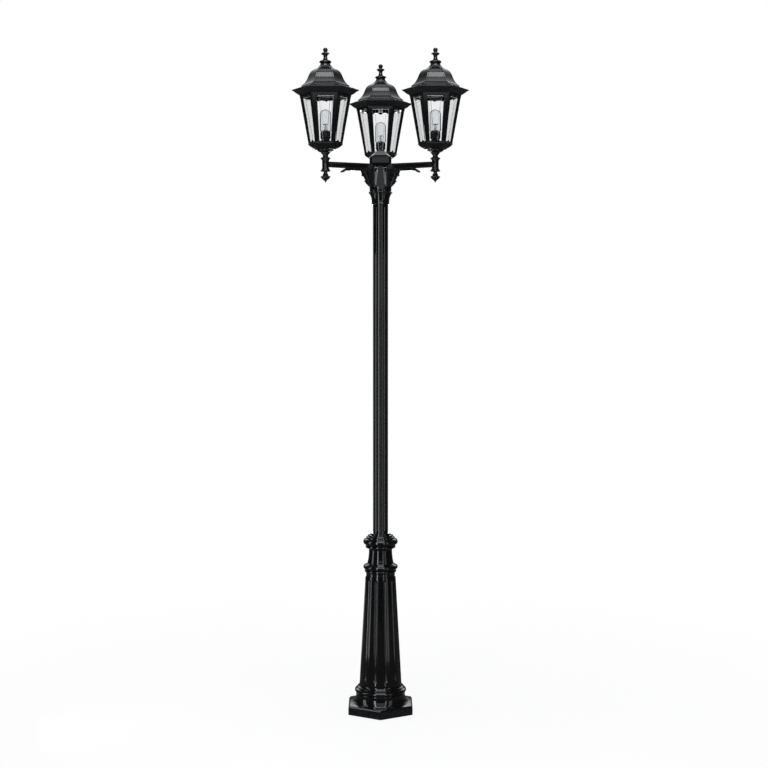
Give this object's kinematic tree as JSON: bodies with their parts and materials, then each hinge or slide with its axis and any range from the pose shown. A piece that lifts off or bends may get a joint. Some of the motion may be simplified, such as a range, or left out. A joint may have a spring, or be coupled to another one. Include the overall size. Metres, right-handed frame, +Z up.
{
  "type": "triple head lamp post",
  "caption": "Tall fluted garden lamp post on a six-sided plinth, with a three-way hub whose arms each carry an upright glazed lantern.",
  "frame": {"origin": "on the ground at the post's axis, in the middle of the anchor holes", "axes": "+Z up along the post, one arm towards +Y, the other two towards the front left and the front right"},
  "size_m": [0.6642, 0.5752, 2.5373],
  "materials": {
    "pedestal_paint": "gloss black powder coat on a casting",
    "pole_paint": "gloss black powder coat on a fluted tube",
    "casting_paint": "gloss black powder coat on a turned casting",
    "arm_paint": "gloss black powder coat on a flat casting",
    "lantern_paint": "gloss black powder coat on a lantern frame",
    "roof_paint": "gloss black powder coat, lit grey on its slopes",
    "plated_steel": "zinc plate",
    "screw_steel": "plain zinc plate",
    "cable_sheath": "matt black sheath",
    "lead_sheath": "pale round lead",
    "terminal_plastic": "cream moulded plastic",
    "holder_plastic": "gloss black phenolic",
    "pane_glass": "clear bevelled glass",
    "bulb_glass": "clear blown glass",
    "bulb_metal": "plated screw cap",
    "bulb_stem": "glass stem with a warm element"
  },
  "bodies": {
    "post": {"mounting_plate": "plated_steel", "pedestal": "pedestal_paint", "pole_socket": "plated_steel", "socket_screws": "screw_steel", "pole": "pole_paint", "moulding": "casting_paint", "moulding_screws": "screw_steel", "supply_cable": "cable_sheath", "hub_collar": "casting_paint", "collar_screws": "screw_steel", "hub_body": "casting_paint", "hub_screws": "screw_steel", "terminal_block": "terminal_plastic", "hub_cap": "casting_paint", "cap_knob": "casting_paint", "arm_bolts": "screw_steel", "lamp_leads": "lead_sheath", "lock_nuts": "screw_steel", "arm_left": "arm_paint", "drop_finial_left": "casting_paint", "nipple_left": "plated_steel", "bowl_left": "lantern_paint", "cage_left": "lantern_paint", "panes_left": "pane_glass", "lampholder_left": "holder_plastic", "top_bridge_left": "plated_steel", "arm_right": "arm_paint", "drop_finial_right": "casting_paint", "nipple_right": "plated_steel", "bowl_right": "lantern_paint", "cage_right": "lantern_paint", "panes_right": "pane_glass", "lampholder_right": "holder_plastic", "top_bridge_right": "plated_steel", "arm_back": "arm_paint", "drop_finial_back": "casting_paint", "nipple_back": "plated_steel", "bowl_back": "lantern_paint", "cage_back": "lantern_paint", "panes_back": "pane_glass", "lampholder_back": "holder_plastic", "top_bridge_back": "plated_steel"},
    "roof_left": {"roof_left": "roof_paint"},
    "finial_left": {"top_finial_left": "casting_paint"},
    "bulb_left": {"bulb_cap_left": "bulb_metal", "bulb_glass_left": "bulb_glass", "bulb_stem_left": "bulb_stem"},
    "roof_right": {"roof_right": "roof_paint"},
    "finial_right": {"top_finial_right": "casting_paint"},
    "bulb_right": {"bulb_cap_right": "bulb_metal", "bulb_glass_right": "bulb_glass", "bulb_stem_right": "bulb_stem"},
    "roof_back": {"roof_back": "roof_paint"},
    "finial_back": {"top_finial_back": "casting_paint"},
    "bulb_back": {"bulb_cap_back": "bulb_metal", "bulb_glass_back": "bulb_glass", "bulb_stem_back": "bulb_stem"}
  },
  "joints": [
    {"name": "roof_left_lift", "type": "slide", "parent": "post", "child": "roof_left", "axis": [0, 0, 1], "range_m": [0, 0.14]},
    {"name": "finial_left_unscrew", "type": "hinge", "parent": "roof_left", "child": "finial_left", "pos_m": [-0.20611, -0.119, 2.4905], "axis": [0, 0, 1], "continuous": true},
    {"name": "bulb_left_unscrew", "type": "hinge", "parent": "post", "child": "bulb_left", "pos_m": [-0.20611, -0.119, 2.225], "axis": [0, 0, 1], "continuous": true},
    {"name": "roof_right_lift", "type": "slide", "parent": "post", "child": "roof_right", "axis": [0, 0, 1], "range_m": [0, 0.14]},
    {"name": "finial_right_unscrew", "type": "hinge", "parent": "roof_right", "child": "finial_right", "pos_m": [0.20611, -0.119, 2.4905], "axis": [0, 0, 1], "continuous": true},
    {"name": "bulb_right_unscrew", "type": "hinge", "parent": "post", "child": "bulb_right", "pos_m": [0.20611, -0.119, 2.225], "axis": [0, 0, 1], "continuous": true},
    {"name": "roof_back_lift", "type": "slide", "parent": "post", "child": "roof_back", "axis": [0, 0, 1], "range_m": [0, 0.14]},
    {"name": "finial_back_unscrew", "type": "hinge", "parent": "roof_back", "child": "finial_back", "pos_m": [0, 0.238, 2.4905], "axis": [0, 0, 1], "continuous": true},
    {"name": "bulb_back_unscrew", "type": "hinge", "parent": "post", "child": "bulb_back", "pos_m": [0, 0.238, 2.225], "axis": [0, 0, 1], "continuous": true}
  ]
}
